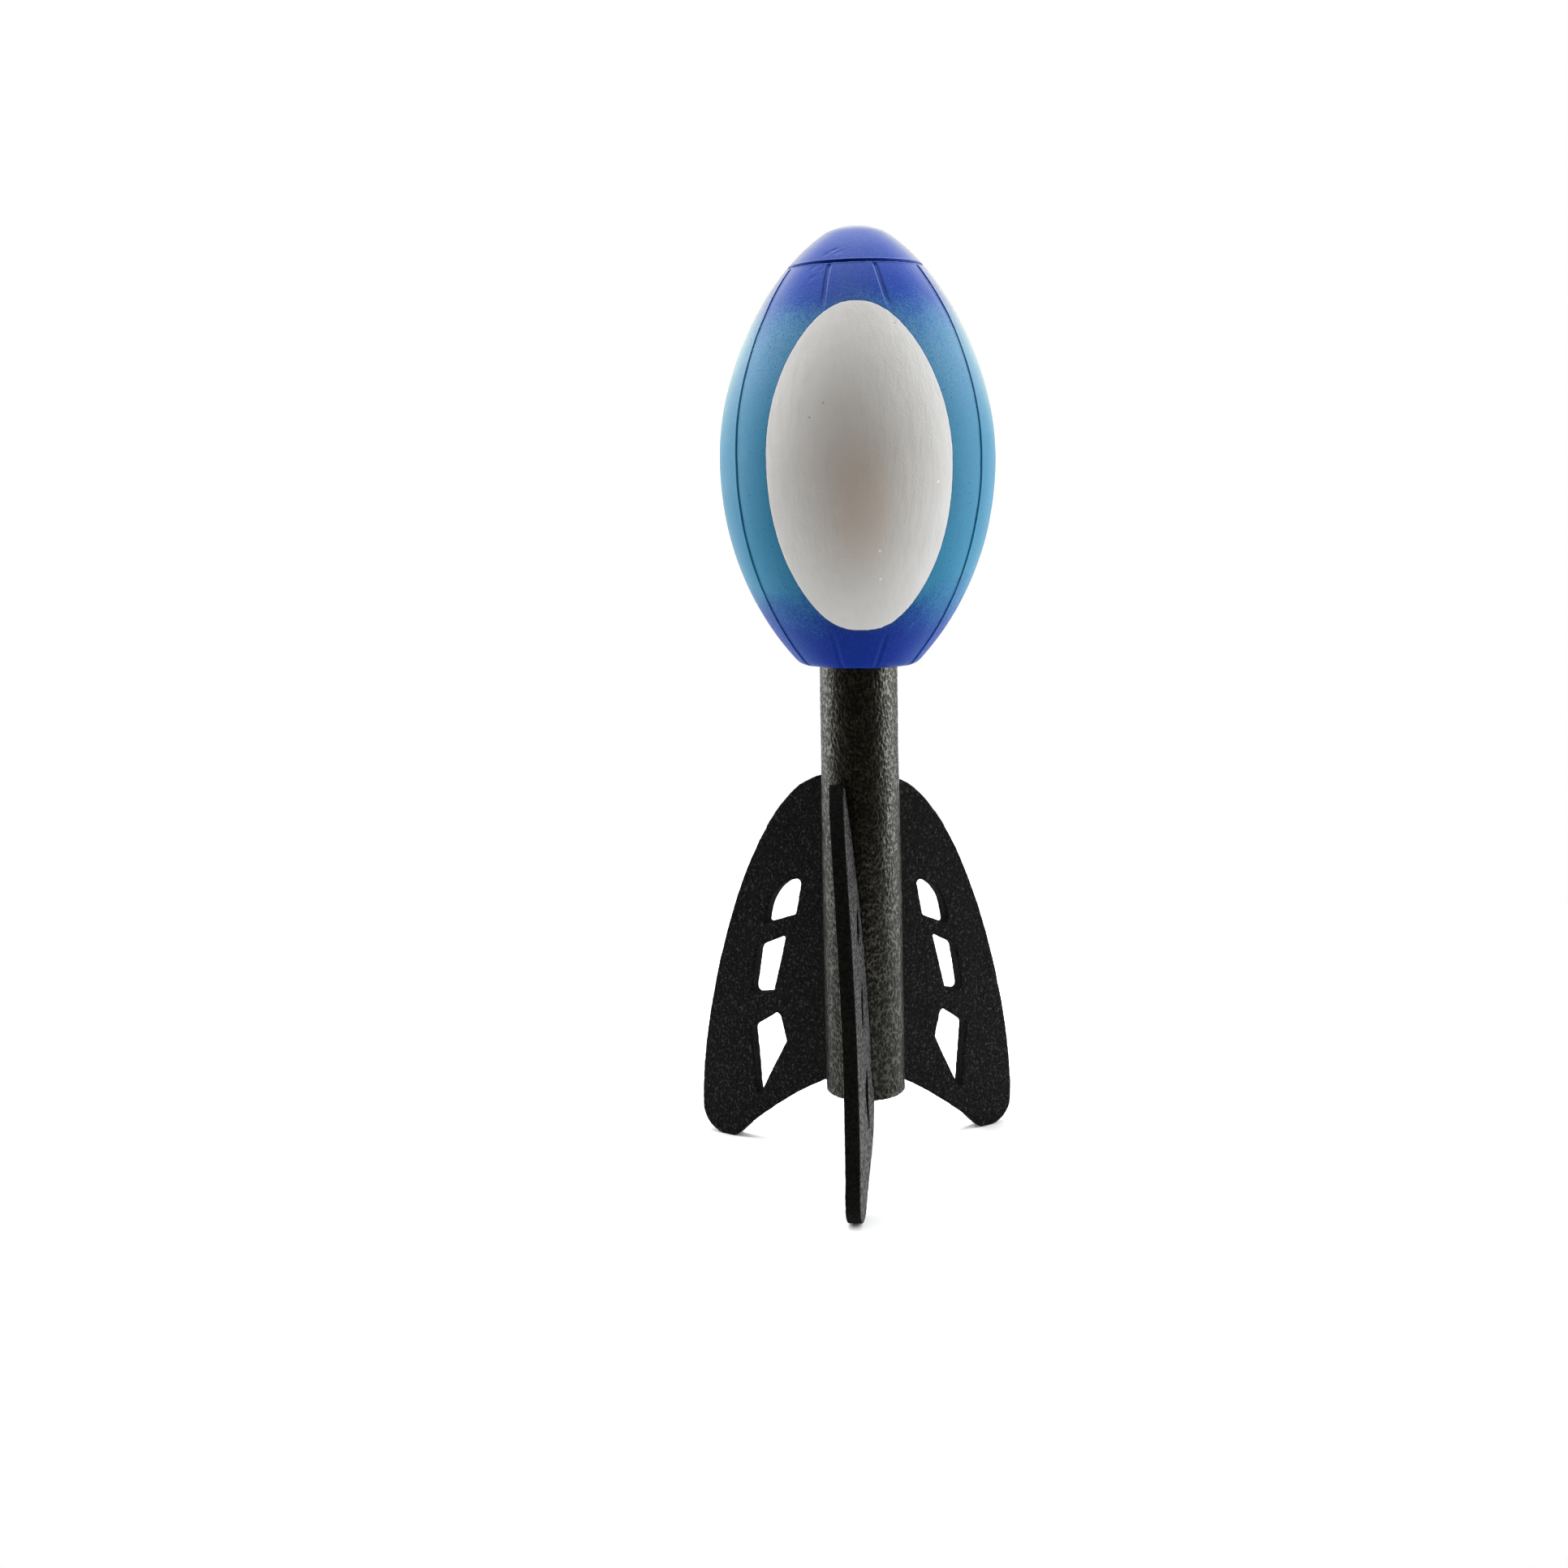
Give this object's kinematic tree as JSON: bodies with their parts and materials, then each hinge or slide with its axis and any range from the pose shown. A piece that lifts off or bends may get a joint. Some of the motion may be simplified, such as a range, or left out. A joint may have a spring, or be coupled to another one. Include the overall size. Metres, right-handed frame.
{
  "type": "foam throwing rocket",
  "caption": "Hand-thrown foam rocket: egg-shaped moulded foam head with panel grooves on a slim foam tail rod with windowed foam sheet fins it stands on.",
  "frame": {"origin": "centre of the tail rod's flat tail end", "axes": "+Z along the rod from its tail end to the nose; -Y towards the front fin, which is 5.5 degrees off it"},
  "size_m": [0.0605, 0.0592, 0.1705],
  "materials": {
    "head_foam": "moulded polyurethane foam, satin paint fading from royal blue to light blue, pale ovals",
    "rod_foam": "black closed-cell foam with a fine wrinkled skin",
    "fin_foam": "black closed-cell foam sheet, fine grain, matt",
    "adhesive": "dried contact adhesive"
  },
  "bodies": {
    "root": {"head": "head_foam", "tail_rod": "rod_foam", "fin_front": "fin_foam", "fin_left": "fin_foam", "fin_right": "fin_foam", "socket_glue": "adhesive", "fin_front_glue": "adhesive", "fin_left_glue": "adhesive", "fin_right_glue": "adhesive"}
  },
  "joints": []
}
